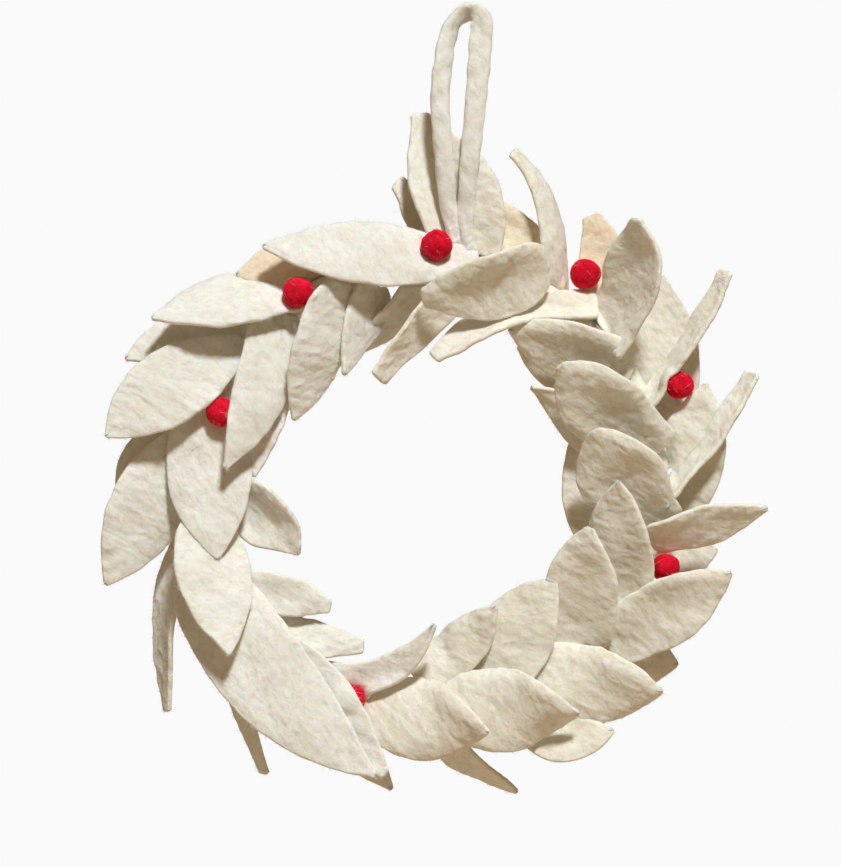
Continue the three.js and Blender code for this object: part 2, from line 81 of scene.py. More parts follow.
# A leaf's base and tip are (x to the right, z up, out towards the viewer). Its middle sways to the left
# and lifts towards the viewer, roll turns it about its length (plus: left edge forward) and twist changes
# that roll towards the tip, cup curls its edges forward, neck is its width at the base and belly the
# share of its length where it is widest. End is the width of the tip, heel how wide the hidden base
# spreads and round how far its corners are rounded, bend an extra turn of the outer half, hook a sideways
# bend of the tip and nod one towards the viewer. Droop is how far the cut edges fall back, most of all
# the upper ones, and rim how wide a band of the leaf falls with them. Two leaves in one list are sewn to
# each other.
LEAVES = {
    # beside the hanging loop
    "leaf_loop_1": [
        leaf([27, 147, 3], [3, 235, -14], 44, sway=-1, roll=20, cup=3, end=14, twist=12, heel=26),
        leaf([17, 149, -6], [-11.5, 194, -18], 26, sway=-4, roll=10, cup=2, lift=-2, end=11),
    ],
    "leaf_loop_2": [leaf([42, 145.5, 2.8], [20.5, 222.5, 3], 41, roll=-15, cup=-3)],
    "leaf_loop_3": [
        leaf([86, 124, -4], [46, 184, -10], 31, sway=1, roll=4, cup=2, heel=14),
        leaf(
            [88, 122, -8], [66, 213, 4], 30, sway=-7.5, roll=62, cup=-4, lift=1, neck=18, heel=20, hook=7,
            end=15, nod=-2, belly=0.3,
        ),
    ],
    # over the top of the ring
    "leaf_top_1": [
        leaf(
            [80, 143, 21], [4, 121, 28], 44, sway=3, roll=-34, cup=7, lift=6, neck=20, heel=32, round=15,
            end=14, droop=5, belly=0.42, rim=10,
        ),
    ],
    "leaf_top_2": [
        leaf(
            [110, 117, 6], [11, 86, 20], 25, sway=-11, roll=42, cup=4, lift=1.2, neck=16, heel=24, end=12,
            droop=3, belly=0.6,
        ),
    ],
    "leaf_top_3": [
        leaf([30, 134, 3.4], [-22.5, 73.5, 14], 24, sway=-1.5, roll=-40, cup=3, end=15, neck=20),
    ],
    # upper left
    "leaf_upper_left_1": [
        leaf([38, 143, 11], [-91, 152, 26], 41, sway=-2.5, roll=24, cup=-2, lift=4, belly=0.5, heel=24),
    ],
    "leaf_upper_left_2": [leaf([-30, 142, -4], [-107.5, 136, 8], 36, sway=-3, roll=14, cup=2, lift=3)],
    "leaf_upper_left_3": [leaf([-66, 125, 10], [-157, 109, 24], 42, sway=-5.6, roll=42, cup=-2, lift=4)],
    "leaf_upper_left_4": [leaf([-88, 108, 0], [-174.5, 86, 4], 36, sway=-4.5, roll=20, cup=2)],
    "leaf_upper_left_5": [
        leaf(
            [-100, 94, 10.1], [-184.5, 39, 27], 46, sway=-4.5, roll=8, cup=2, lift=2, twist=-6, neck=14,
            heel=18, belly=0.52,
        ),
    ],
    "leaf_upper_left_6": [
        leaf([-43.5, 132, 17], [-73, 49, 16], 42, sway=2, cup=-2, lift=4, belly=0.42, roll=-39),
    ],
    "leaf_upper_left_7": [
        leaf([-80, 114, 9.4], [-113.5, 20, 30], 35, sway=5, cup=-2, lift=5, belly=0.4, roll=-22, heel=34),
        leaf([-78, 110, 8.8], [-97, 15, 12], 27, cup=2),
    ],
    "leaf_upper_left_8": [leaf([-22, 135, 3], [-43, 76, 16], 30, roll=-44, cup=2, belly=0.34)],
    "leaf_upper_left_9": [leaf([6, 135, -3], [-31, 91, -6], 34, roll=-58, cup=3)],
    # left side
    "leaf_left_1": [
        leaf([-124, 58, 9], [-118, -34, 22], 51, sway=-2, cup=-2, belly=0.43, heel=38, neck=24),
    ],
    "leaf_left_2": [
        leaf([-136, 42, 2], [-186, -50, 8], 49, sway=1, cup=-2, lift=2, roll=-20),
        leaf([-136, 50, -1], [-178, -8, -8], 38, sway=-3, roll=10),
    ],
    "leaf_left_3": [
        leaf([-128, -6, 9.2], [-111, -91, 38], 47, sway=1, cup=-2, lift=2, belly=0.4, roll=-20),
    ],
    "leaf_left_4": [leaf([-118, 8, 0], [-70, -32, 8], 37, sway=5, roll=20, cup=8, lift=2)],
    "leaf_left_5": [
        leaf([-108, -51, 7], [-50, -61, 13], 25, roll=4, cup=2, lift=2, end=9, hook=-2),
    ],
    "leaf_left_6": [
        leaf(
            [-131, -3, -12], [-149.2, -127, -10], 38, sway=-9, roll=66, cup=3, neck=14, heel=8, end=10,
        ),
    ],
    # lower left
    "leaf_lower_left_1": [
        leaf(
            [-127, -48, 9.3], [-23, -163.5, 30], 55, sway=-9, cup=-2, lift=8, belly=0.4, heel=48,
            droop=0.8,
        ),
    ],
    "leaf_lower_left_2": [
        leaf([-88, -80, 9.1], [-17, -162.5, 26], 45, sway=-4, cup=1, lift=2, roll=9, end=7, droop=0.8),
    ],
    "leaf_lower_left_3": [leaf([-66, -106, -8], [-14, -174.5, -15], 28, sway=-2, roll=20)],
    "leaf_lower_left_4": [leaf([-116, -62, -8], [-91, -165, -16], 43, roll=76, cup=3, end=21, sway=-2.5)],
    "leaf_lower_left_5": [
        leaf([-98, -69, 7], [-30.5, -86, 12], 24, roll=-18, cup=1, end=10, heel=32, sway=-4),
    ],
    "leaf_lower_left_6": [leaf([-60, -106, 6], [12, -72.5, 30], 19, sway=-14, roll=-8, cup=3, lift=-1)],
    # bottom
    "leaf_bottom_1": [
        leaf(
            [-30, -119, 9], [44, -137, 34], 49, sway=-3, roll=-8, cup=-3, lift=1, neck=22, bend=46,
            heel=38, droop=3.6,
        ),
    ],
    "leaf_bottom_2": [
        leaf([1, -108, 5.1], [49, -62, 22], 30, sway=-2.5, cup=-2, lift=-4, neck=22, heel=30, roll=-15),
    ],
    "leaf_bottom_3": [
        leaf(
            [46, -108, 7], [85, -46, 22], 47, sway=3, roll=-22, cup=-2, lift=1, twist=12, belly=0.42,
            heel=40,
        ),
    ],
    "leaf_bottom_4": [
        leaf(
            [16, -120, 9.2], [98, -126, 32], 50, sway=-2.5, cup=-3, lift=4.6, bend=46, heel=40, droop=3.6,
        ),
    ],
    "leaf_bottom_5": [
        leaf(
            [66, -104, 9.3], [148, -112.5, 30], 47, sway=-2.5, cup=-3, lift=2, bend=34, heel=46,
            droop=3.6,
        ),
    ],
    "leaf_bottom_6": [leaf([62, -112, -8], [119, -137, 18], 40, sway=-12.5, roll=-6, lift=8)],
    "leaf_bottom_7": [leaf([-2, -122, -8], [62, -176, -12], 36, sway=-4, roll=65, cup=3)],
    # lower right
    "leaf_lower_right_1": [
        leaf(
            [100, -86, 9.1], [104, -15, 38], 45, sway=2, cup=3, heel=40, roll=-16, droop=4, end=7, rim=8,
        ),
    ],
    "leaf_lower_right_2": [
        leaf([126, -66, 7], [121, 13, 36], 44, cup=1, heel=34, roll=-28, droop=4, rim=8, sway=1.5),
    ],
    "leaf_lower_right_3": [
        leaf([111, -87, 8], [189, -42, 26], 42, sway=-1, roll=14, cup=3, lift=2, heel=36, belly=0.49),
    ],
    "leaf_lower_right_4": [leaf([108, -92, -8], [159, -98, -8], 37, roll=20)],
    "leaf_lower_right_5": [
        leaf([140, -23, 16], [210.5, -3.5, 28], 28, roll=38, cup=2, lift=3),
        leaf([142, -38, -5], [182.5, -29, -3], 28),
    ],
    # right side
    "leaf_right_1": [
        leaf(
            [147, -2, 8], [202.5, 78, 12], 20, roll=-58, cup=3, lift=4, end=13, bend=12, sway=-3, neck=20,
            heel=28,
        ),
    ],
    "leaf_right_2": [leaf([154, -14, -3], [174.5, 71, 10], 43, sway=-1, lift=4, heel=30)],
    "leaf_right_3": [
        leaf(
            [134.5, 52.5, 6.5], [187, 138.5, 16], 19, roll=-58, cup=3, lift=2, end=13, bend=12, heel=20,
            sway=-3.5,
        ),
    ],
    "leaf_right_4": [leaf([152, 48, -4], [149, 136, -6], 42, belly=0.42, heel=30)],
    "leaf_right_5": [
        leaf(
            [147, 30, 10], [86, 82, 34], 51, sway=2, roll=-28, cup=4, lift=2, end=8, heel=34, belly=0.55,
            droop=5, rim=9,
        ),
    ],
    "leaf_right_6": [leaf([134, 12, 1], [70, 70, 8], 30, sway=-2.5, twist=-50)],
    "leaf_right_7": [
        leaf(
            [146, -16, 10], [106, 43, 37], 55, sway=1, roll=-27, cup=3.5, lift=1, end=8, heel=40,
            belly=0.54, droop=5, rim=9,
        ),
    ],
    "leaf_right_8": [leaf([124, -36, -2], [96, 42, -6], 36, sway=4, belly=0.38)],
    # upper right
    "leaf_upper_right_1": [
        leaf(
            [115, 98, 6], [131, 169, 38], 46, sway=-9, roll=-44, cup=7, lift=1, heel=46, belly=0.52,
            end=10, nod=5, droop=4, neck=34, round=4,
        ),
    ],
    "leaf_upper_right_2": [leaf([116, 98, -6], [106, 173, -12], 36, sway=-5, cup=2, end=12)],
    "leaf_upper_right_3": [
        leaf(
            [132, 80.5, 9], [56, 103.5, 18.8], 42, sway=2, roll=-34, cup=3, lift=2, heel=30, droop=4.4,
            rim=8,
        ),
    ],
    "leaf_upper_right_4": [leaf([122, 76, -4], [62, 94, -6], 32, sway=4)],
}

# A ball's middle (x, z, out) and its radius
BALLS = {
    "ball_1": (13, 154, 19.2, 9.6),
    "ball_2": (-69.5, 125.5, 22.5, 9.7),
    "ball_3": (-116, 54, 18, 9.4),
    "ball_4": (102.5, 137, 3, 9.5),
    "ball_5": (158.5, 70, 14, 8.7),
    "ball_6": (150.4, -39.2, 14, 8.8),
    "ball_7": (-39, -118, 16, 9.4),
}

# The strap's middle line: x, z, out, width and its turn about itself in degrees
STRAP_THICKNESS = 6
STRAP_WOBBLE = 0.05
STRAP_LUMPS = 0.4
STRAP_LINE = [
    (25, 149, 6.8, 9, 0),
    (24, 156, 7, 8, 0),
    (22.5, 165, 7.4, 9, 4),
    (20, 178, 8.4, 10.5, 4),
    (18, 200, 11.5, 11.5, 0),
    (15, 241, 11, 11, 10),
    (17, 264, 8, 12.5, 35),
    (20, 280, 3, 15, 55),
    (25.5, 291.5, 0, 14, 60),
    (33.5, 295.2, 0, 13, 50),
    (39.5, 291, 3, 13, 20),
    (39.3, 275, 6, 13.5, 0),
    (36.5, 241, 10, 12.5, -10),
    (33, 205, 11, 12, 0),
    (31, 180, 8.4, 11, 0),
    (30.5, 166, 7.4, 9.5, 0),
    (31.5, 156, 7, 8, 0),
    (33.5, 149, 6.8, 9, 0),
]

VIEWER = np.array([0.0, -1.0, 0.0])


def unit(vectors):
    return vectors / np.maximum(np.linalg.norm(vectors, axis=-1, keepdims=True), 1e-9)


def area_under(heights, places):
    return float(((heights[1:] + heights[:-1]) / 2 * np.diff(places)).sum())


def point(place):
    return np.array([place[0], -place[2], place[1]], float)


def to_row(points):
    """From millimetres about the wreath's middle to metres in the row frame."""
    return (points - np.array([HANG_POINT[0], 0, HANG_POINT[1]])) * 0.001


def ripples(seed, count, shortest, longest):
    """A smooth random field over two lengths in millimetres, about 1 high."""
    rng = np.random.default_rng(seed)
    turns = rng.uniform(0, 2 * math.pi, count)
    lengths = rng.uniform(shortest, longest, count)
    phases = rng.uniform(0, 2 * math.pi, count)

    def field(a, b):
        total = 0
        for turn, length, phase in zip(turns, lengths, phases):
            along = (a * math.cos(turn) + b * math.sin(turn)) / length
            total = total + np.sin(2 * math.pi * along + phase)
        return total / math.sqrt(count)

    return field


def half_width(row, share):
    """Half the width of a leaf: a lens with a pinched base and a blunt tip."""
    stretched = share ** (math.log(0.5) / math.log(row["belly"]))
    power = np.where(stretched < 0.5, LENS_POWER, TIP_POWER)
    lens = row["width"] / 2 * np.maximum(4 * stretched * (1 - stretched), 0) ** power
    ends = row["neck"] / 2 + (row["end"] / 2 - row["neck"] / 2) * share
    half = np.hypot(lens, ends * (1 - (1 - WAIST) * np.sin(math.pi * share)))
    heel = row["heel"] / 2 * np.maximum(1 - (share / 0.45) ** 2, 0) ** 0.5
    return (half**4 + heel**4) ** 0.25


def spine(row, share):
    """The leaf's middle line and the directions across it and out of its face, at each share of it."""
    base, tip = point(row["base"]), point(row["tip"])
    along = unit(tip - base)
    left = unit(np.cross(VIEWER, along))
    bend = (base + tip) / 2 + 2 * row["sway"] * left + 2 * row["lift"] * VIEWER
    s = share[:, None]
    at = (1 - s) ** 2 * base + 2 * s * (1 - s) * bend + s**2 * tip
    at = at + left * row["hook"] * s**5 + VIEWER * row["nod"] * s**4
    ahead = unit(2 * (1 - s) * (bend - base) + 2 * s * (tip - bend))
    side = unit(np.cross(VIEWER, ahead))
    face = np.cross(ahead, side)
    outer = np.clip((s - 0.25) / 0.75, 0, 1)
    angle = np.radians(row["roll"] + row["twist"] * s + row["bend"] * outer**2 * (3 - 2 * outer))
    across = side * np.cos(angle) + face * np.sin(angle)
    front = face * np.cos(angle) - side * np.sin(angle)
    return at, across, front


def off_the_core(points, forward):
    """Felt that would cut through the core lies over it: in front (1), behind (-1) or the near way (0)."""
    reach = CORE_RADIUS + GAP + FELT / 2
    x, z = points[..., 0] - RING["x"], points[..., 2] - RING["z"]
    angle = np.arctan2(z / RING["half_height"], x / RING["half_width"])
    dx, dz = x - RING["half_width"] * np.cos(angle), z - RING["half_height"] * np.sin(angle)
    sideways = np.hypot(dx, dz)
    out = -points[..., 1]
    away = np.hypot(sideways, out)
    if forward:
        least = np.sqrt(np.maximum(reach**2 - sideways**2, 0))
        moved = points.copy()
        moved[..., 1] = -np.where(sideways < reach, forward * np.maximum(forward * out, least), out)
        return moved
    grow = np.maximum(reach / np.maximum(away, 1.5), 1)[..., None]
    middle = points - np.stack([dx, -out, dz], -1)
    return middle + (points - middle) * grow


def off_the_balls(points, normals):
    """Felt with a ball pressed into it is dented by it."""
    for *place, radius in BALLS.values():
        to_point = points - point(place)
        height = (to_point * normals).sum(-1)
        lateral = np.sqrt(np.maximum((to_point**2).sum(-1) - height**2, 0))
        reach = radius + GAP + FELT / 2
        near = lateral < reach
        if not near.any() or np.abs(height[near]).min() > reach:
            continue
        side = np.sign(np.median(height[near]))
        wanted = np.sqrt(np.maximum(reach**2 - lateral**2, 0))
        lack = np.maximum(wanted - side * height, 0) * near * (side * height > -reach)
        points = points + normals * (side * lack)[..., None]
    return points


def normals_of(points, front):
    down = np.gradient(points, axis=0)
    over = np.gradient(points, axis=1)
    normal = unit(np.cross(down, over))
    flip = np.sign((normal * front[:, None, :]).sum(-1, keepdims=True))
    return normal * np.where(flip == 0, 1, flip)


def smoothed(field, rounds):
    for _ in range(rounds):
        padded = np.pad(field, ((1, 1), (1, 1), (0, 0)), mode="edge")
        near = padded[:-2, 1:-1] + padded[2:, 1:-1] + padded[1:-1, :-2] + padded[1:-1, 2:]
        field = field / 2 + near / 8
    return field


def leaf_sheet(row, index, seed):
    """The leaf's front and back grids, its length, and its places along and across in millimetres."""
    steps_along, steps_across = 48, 18
    fine = np.linspace(0, 1, 200)
    line, _, _ = spine(row, fine)
    length = np.linalg.norm(np.diff(line, axis=0), axis=1).sum()
    base_out = row["base"][2]
    forward = 1 if base_out >= BASE_IN_FRONT else -1 if base_out <= BASE_BEHIND else 0
    start = 0.0
    if not forward:
        gone = off_the_core(line, 0) - line
        inside = np.linalg.norm(gone, axis=1) > 3
        start = fine[inside].max() if inside.any() and fine[inside].max() < 0.35 else 0.0
    turn = np.radians([18, 36, 54, 72, 90])
    round_u = RIM_ROUND / length
    inner = np.linspace(start + round_u, 1 - round_u, steps_along)
    first, last = start + round_u * (1 - np.sin(turn[::-1])), 1 - round_u * (1 - np.sin(turn))
    share = np.concatenate([first, inner, last])
    end_depth = np.concatenate([np.cos(turn[::-1]), np.ones(steps_along), np.cos(turn)])
    half = half_width(row, share)
    blunt = BLUNT_TIP / length
    corner = np.clip((share - (1 - blunt)) / blunt, 0, 1)
    half = half * (0.25 + 0.75 * np.maximum(1 - corner**3, 0) ** 0.5)
    heel = row["round"] / length
    corner = np.clip((start + heel - share) / heel, 0, 1)
    half = half * (0.4 + 0.6 * np.maximum(1 - corner**2.6, 0) ** 0.5)
    cut = [ripples(seed * 7 + side, 5, 9, 34) for side in (1, 2)]
    mm_along = share * length
    left = half + CUT_WOBBLE * cut[0](mm_along, 0) * np.minimum(half / 8, 1)
    right = half + CUT_WOBBLE * cut[1](mm_along, 0) * np.minimum(half / 8, 1)
    rim = np.minimum(RIM_ROUND / np.maximum(half, 0.5), 0.6)
    flat = np.sin(np.linspace(-1.25, 1.25, steps_across)) / math.sin(1.25)
    arc = np.sin(turn)
    v_left = -(1 - rim[:, None] * (1 - arc[::-1]))
    v_right = 1 - rim[:, None] * (1 - arc)
    v = np.concatenate([v_left, flat * (1 - rim[:, None]), v_right], 1)
    side_depth = np.concatenate([np.cos(turn[::-1]), np.ones(steps_across), np.cos(turn)])
    depth = end_depth[:, None] * side_depth[None, :] * FELT / 2
    at, across, front = spine(row, share)
    reach = np.where(v < 0, left[:, None], right[:, None]) * v
    curl = row["cup"] * (half / (row["width"] / 2)) ** 2
    phase = 2 * math.pi * (WAVE["turns"] * share + WAVE["step"] * index)
    wave = WAVE["height"] * np.sin(phase) * np.sin(math.pi * share)
    soft = ripples(seed * 11 + 3, 6, 22, 52)
    fade = np.clip((share - start) * 4, 0, 1)[:, None]
    lumps = LUMPS * soft(mm_along[:, None], reach) * fade
    from_edge = np.where(v < 0, left[:, None], right[:, None]) * (1 - np.abs(v))
    looks_up = 0.4 + 0.6 * np.clip(1.5 * across[:, 2:] * np.sign(v), 0, 1)
    fall = row["droop"] * looks_up * np.clip(1 - from_edge / row["rim"], 0, 1) ** 2
    fall = fall * np.clip(half / 10, 0, 1)[:, None]
    lift = curl[:, None] * v**2 + wave[:, None] * v + lumps - fall
    mid = at[:, None, :] + across[:, None, :] * reach[..., None] + front[:, None, :] * lift[..., None]
    seated = off_the_core(mid, forward)
    seated = mid + smoothed(seated - mid, 3)
    normal = normals_of(seated, front)
    dented = off_the_balls(seated, normal)
    mid = seated + smoothed(dented - seated, 2)
    normal = normals_of(mid, front)
    normal[:5], normal[-5:] = normal[5], normal[-6]
    small = ripples(seed * 13 + 5, 10, 4, 12)
    grain = SMALL_LUMPS * small(mm_along[:, None], reach)
    front_face = mid + normal * (depth + grain * (depth > 0.3))[..., None]
    back_face = mid - normal * (depth - grain * (depth > 0.3) * 0.6)[..., None]
    return {
        "front": front_face,
        "back": back_face,
        "normal": normal,
        "outward": normals_of(front_face, front),
        "room": np.broadcast_to(half[:, None], v.shape),
        "rim": unit(front_face - mid + across[:, None, :] * (np.sign(v) * (side_depth < 0.99))[..., None]),
        "length": length * (1 - start),
        "along": np.broadcast_to(mm_along[:, None], v.shape),
        "across": reach,
        "area": area_under(left + right, mm_along),
    }


def grid_mesh(sheets):
    """One closed skin for each sheet: front and back grids share their rim."""
    verts, faces, uvs = [], [], []
    offset = 0
    for sheet in sheets:
        rows, cols = sheet["front"].shape[:2]
        front_index = np.arange(rows * cols).reshape(rows, cols) + offset
        back_index = front_index.copy()
        inner_count = (rows - 2) * (cols - 2)
        back_index[1:-1, 1:-1] = np.arange(inner_count).reshape(rows - 2, cols - 2) + offset + rows * cols
        verts += [sheet["front"].reshape(-1, 3), sheet["back"][1:-1, 1:-1].reshape(-1, 3)]
        place = np.stack([sheet["across"], sheet["along"]], -1) * 0.1
        uvs += [place.reshape(-1, 2), place[1:-1, 1:-1].reshape(-1, 2)]
        offset += rows * cols + inner_count
        middle = rows // 2, cols // 2
        down = sheet["front"][middle[0] + 1, middle[1]] - sheet["front"][middle]
        over = sheet["front"][middle[0], middle[1] + 1] - sheet["front"][middle]
        facing = np.dot(np.cross(down, over), sheet["normal"][middle]) > 0
        for index, outward in ((front_index, facing), (back_index, not facing)):
            a, b = index[:-1, :-1].ravel(), index[1:, :-1].ravel()
            c, d = index[1:, 1:].ravel(), index[:-1, 1:].ravel()
            faces.append(np.stack([a, b, c, d] if outward else [a, d, c, b], 1))
    return np.concatenate(verts), np.concatenate(faces), np.concatenate(uvs)


def loose_fibres(roots, normals, seed, count, length, rise, room=None, thickness=0.13):
    """Thin curved strands that stand out of the felt, each a closed tapering tube of three sides."""
    rng = np.random.default_rng(seed)
    pick = rng.choice(len(roots), count, p=None if room is None else room / room.sum())
    root, normal = roots[pick], normals[pick]
    sideways = unit(np.cross(normal, rng.normal(size=(count, 3))))
    ahead = unit(normal * rng.uniform(*rise, (count, 1)) + sideways)
    curve = unit(rng.normal(size=(count, 3)) - normal * 0.5)
    long = rng.uniform(*length, (count, 1)) * rng.uniform(0.5, 1, (count, 1))
    first = unit(np.cross(ahead, curve))
    second = np.cross(ahead, first)
    rings = []
    for share, size in ((-0.05, 1.0), (0.35, 0.9), (0.7, 0.65)):
        middle = root + long * (ahead * share + curve * 0.35 * share**2)
        for turn in np.radians([0, 120, 240]):
            rings.append(middle + (first * math.cos(turn) + second * math.sin(turn)) * thickness / 2 * size)
    rings.append(root + long * (ahead + curve * 0.35))
    verts = np.stack(rings, 1)
    pattern = [[2, 1, 0]]
    for low in (0, 3):
        pattern += [[low + k, low + (k + 1) % 3, low + 3 + (k + 1) % 3, low + 3 + k] for k in range(3)]
    pattern += [[6 + k, 6 + (k + 1) % 3, 9] for k in range(3)]
    faces = [[10 * n + corner for corner in face] for n in range(count) for face in pattern]
    return verts.reshape(-1, 3), faces


def mesh_object(name, points, faces, material, uvs=None, strands=()):
    """One object of a skin and the loose fibres that grow out of it: (points, faces, material) each."""
    mesh = bpy.data.meshes.new(name)
    faces = faces if isinstance(faces, list) else faces.tolist()
    kinds = [material]
    kind_of = [0] * len(faces)
    for ends, strand_faces, kind in strands:
        faces = faces + [[corner + len(points) for corner in face] for face in strand_faces]
        points = np.concatenate([points, ends])
        if kind not in kinds:
            kinds.append(kind)
        kind_of += [kinds.index(kind)] * len(strand_faces)
    mesh.from_pydata(to_row(points).tolist(), [], faces)
    mesh.polygons.foreach_set("material_index", kind_of)
    if uvs is not None:
        uvs = np.concatenate([uvs, np.zeros((len(points) - len(uvs), 2))])
        layer = mesh.uv_layers.new(name="UVMap")
        corners = np.zeros(len(mesh.loops), np.int32)
        mesh.loops.foreach_get("vertex_index", corners)
        layer.data.foreach_set("uv", uvs[corners].astype(np.float32).ravel())
    mesh.polygons.foreach_set("use_smooth", [True] * len(mesh.polygons))
    for kind in kinds:
        mesh.materials.append(kind)
    obj = bpy.data.objects.new(name, mesh)
    bpy.context.scene.collection.objects.link(obj)
    return obj


# Materials

def node(tree, kind, **values):
    made = tree.nodes.new(kind)
    for name, value in values.items():
        setattr(made, name, value)
    return made


def noise(tree, vector, scale, detail=2.0, roughness=0.5, distortion=0.0):
    made = node(tree, "ShaderNodeTexNoise")
    made.inputs["Scale"].default_value = scale
    made.inputs["Detail"].default_value = detail
    made.inputs["Roughness"].default_value = roughness
    made.inputs["Distortion"].default_value = distortion
    tree.links.new(vector, made.inputs["Vector"])
    return made.outputs["Fac"]


def mapped(tree, vector, scale, move):
    made = node(tree, "ShaderNodeMapping")
    made.inputs["Scale"].default_value = scale
    made.inputs["Location"].default_value = (move, move * 0.7, move * 0.3)
    tree.links.new(vector, made.inputs["Vector"])
    return made.outputs["Vector"]


def turned(tree, vector, angles):
    made = node(tree, "ShaderNodeVectorRotate", rotation_type="EULER_XYZ")
    made.inputs["Rotation"].default_value = angles
    tree.links.new(vector, made.inputs["Vector"])
    return made.outputs[0]


def ranged(tree, value, low, high, new_low=0.0, new_high=1.0):
    made = node(tree, "ShaderNodeMapRange")
    for name, number in (("From Min", low), ("From Max", high), ("To Min", new_low), ("To Max", new_high)):
        made.inputs[name].default_value = number
    tree.links.new(value, made.inputs["Value"])
    return made.outputs["Result"]


def mixed(tree, factor, first, second):
    made = node(tree, "ShaderNodeMix", data_type="RGBA")
    for socket, value in (("Factor", factor), ("A", first), ("B", second)):
        slot = [s for s in made.inputs if s.name == socket and (s.type == "RGBA" or socket == "Factor")][0]
        if isinstance(value, tuple):
            slot.default_value = (*value, 1)
        else:
            tree.links.new(value, slot)
    return [s for s in made.outputs if s.type == "RGBA"][0]


def total(tree, *parts):
    """The sum of (output, weight) pairs."""
    result = None
    for output, weight in parts:
        scaled = node(tree, "ShaderNodeMath", operation="MULTIPLY")
        scaled.inputs[1].default_value = weight
        tree.links.new(output, scaled.inputs[0])
        if result is None:
            result = scaled.outputs[0]
            continue
        both = node(tree, "ShaderNodeMath", operation="ADD")
        tree.links.new(result, both.inputs[0])
        tree.links.new(scaled.outputs[0], both.inputs[1])
        result = both.outputs[0]
    return result


# Three sets of matted fibres: the way they run, how long they are for their width, and how fine
FIBRE_SETS = ((0.35, 2.4, 620), (1.5, 2.2, 800), (2.5, 3, 1300))


def felt(name, base, pale, dark, radius, scale, sheen, move, streak=0.0, relief=0.9):
    """Wool felt: matted fibres in several directions, soft mottling, and light that seeps through."""
    material = bpy.data.materials.new(name)
    material.use_nodes = True
    tree = material.node_tree
    shader = tree.nodes["Principled BSDF"]
    place = node(tree, "ShaderNodeTexCoord").outputs["Object"]
    fibres = []
    for turn, stretch, size in FIBRE_SETS:
        lying = turned(tree, place, (0.2, turn + streak, 0.15))
        thin = mapped(tree, lying, (1.0, 1.0, 1 / stretch), move + turn + streak)
        fibres.append(noise(tree, thin, size, 4, 0.65, 0.2))
    matted = total(tree, (fibres[0], 0.4), (fibres[1], 0.35), (fibres[2], 0.25))
    lying = turned(tree, place, (0.1, 0.6 + streak, 0.1))
    mottle = noise(tree, mapped(tree, lying, (1, 1, 0.7), move), 360, 3, 0.55, 0.4)
    cloud = noise(tree, mapped(tree, lying, (1, 1, 0.5), move * 1.7), 120, 1.5, 0.5, 0.3)
    broad = noise(tree, mapped(tree, place, (1, 1, 1), move * 2), 40, 2, 0.5)
    speck = noise(tree, mapped(tree, place, (1, 1, 1), move * 3), 560, 1, 0.5)
    colour = mixed(tree, ranged(tree, broad, 0.35, 0.65), base, pale)
    for field, most in ((cloud, 0.35), (mottle, 0.6), (matted, 0.6)):
        colour = mixed(tree, ranged(tree, field, 0.5, 0.3, 0, most), colour, dark)
        colour = mixed(tree, ranged(tree, field, 0.5, 0.68, 0, most), colour, pale)
    colour = mixed(tree, ranged(tree, speck, 0.74, 0.82, 0, 0.3), colour, dark)
    tree.links.new(colour, shader.inputs["Base Color"])
    rough = ranged(tree, matted, 0.3, 0.7, 0.86, 1.0)
    tree.links.new(rough, shader.inputs["Roughness"])
    height = total(tree, (matted, 0.3), (mottle, 0.55), (cloud, 2.8))
    bump = node(tree, "ShaderNodeBump")
    bump.inputs["Strength"].default_value = relief
    bump.inputs["Distance"].default_value = 0.0008
    tree.links.new(height, bump.inputs["Height"])
    tree.links.new(bump.outputs["Normal"], shader.inputs["Normal"])
    shader.inputs["Specular IOR Level"].default_value = 0.15
    shader.inputs["Sheen Weight"].default_value = sheen[0]
    shader.inputs["Sheen Roughness"].default_value = 0.45
    shader.inputs["Sheen Tint"].default_value = (*sheen[1], 1)
    shader.inputs["Subsurface Weight"].default_value = 1.0
    shader.inputs["Subsurface Radius"].default_value = radius
    shader.inputs["Subsurface Scale"].default_value = scale
    return material


# The felt's own colour, its pale patches and its dark ones; the cooler and warmer copies after it are
# painted light
CREAM = ((0.855, 0.825, 0.71), (0.935, 0.915, 0.835), (0.78, 0.73, 0.60))
# A cooler copy of the same cream: painted light, the cool of direct sun on the sunlit left leaves and the
# strap
PAINTED_SUNLIT_CREAM = ((0.84, 0.825, 0.745), (0.925, 0.92, 0.875), (0.77, 0.735, 0.64))
# A warmer copy of the same cream: painted light, the warm glow of light seeping through shaded leaves
PAINTED_BACKLIGHT_CREAM = ((0.87, 0.75, 0.57), (0.94, 0.85, 0.70), (0.80, 0.66, 0.48))
GLOW = (1.0, 0.72, 0.45)
DOWN = (0.2, (1, 0.98, 0.92))


def wool(name, colour, tip):
    """Single fibres: the same wool, uneven in colour and a little see-through."""
    material = bpy.data.materials.new(name)
    material.use_nodes = True
    tree = material.node_tree
    shader = tree.nodes["Principled BSDF"]
    place = node(tree, "ShaderNodeTexCoord").outputs["Object"]
    tree.links.new(mixed(tree, noise(tree, place, 300), colour, tip), shader.inputs["Base Color"])
    shader.inputs["Roughness"].default_value = 0.7
    shader.inputs["Specular IOR Level"].default_value = 0.2
    shader.inputs["Subsurface Weight"].default_value = 0.6
    shader.inputs["Subsurface Radius"].default_value = (1, 0.9, 0.75)
    shader.inputs["Subsurface Scale"].default_value = 0.0004
    return material


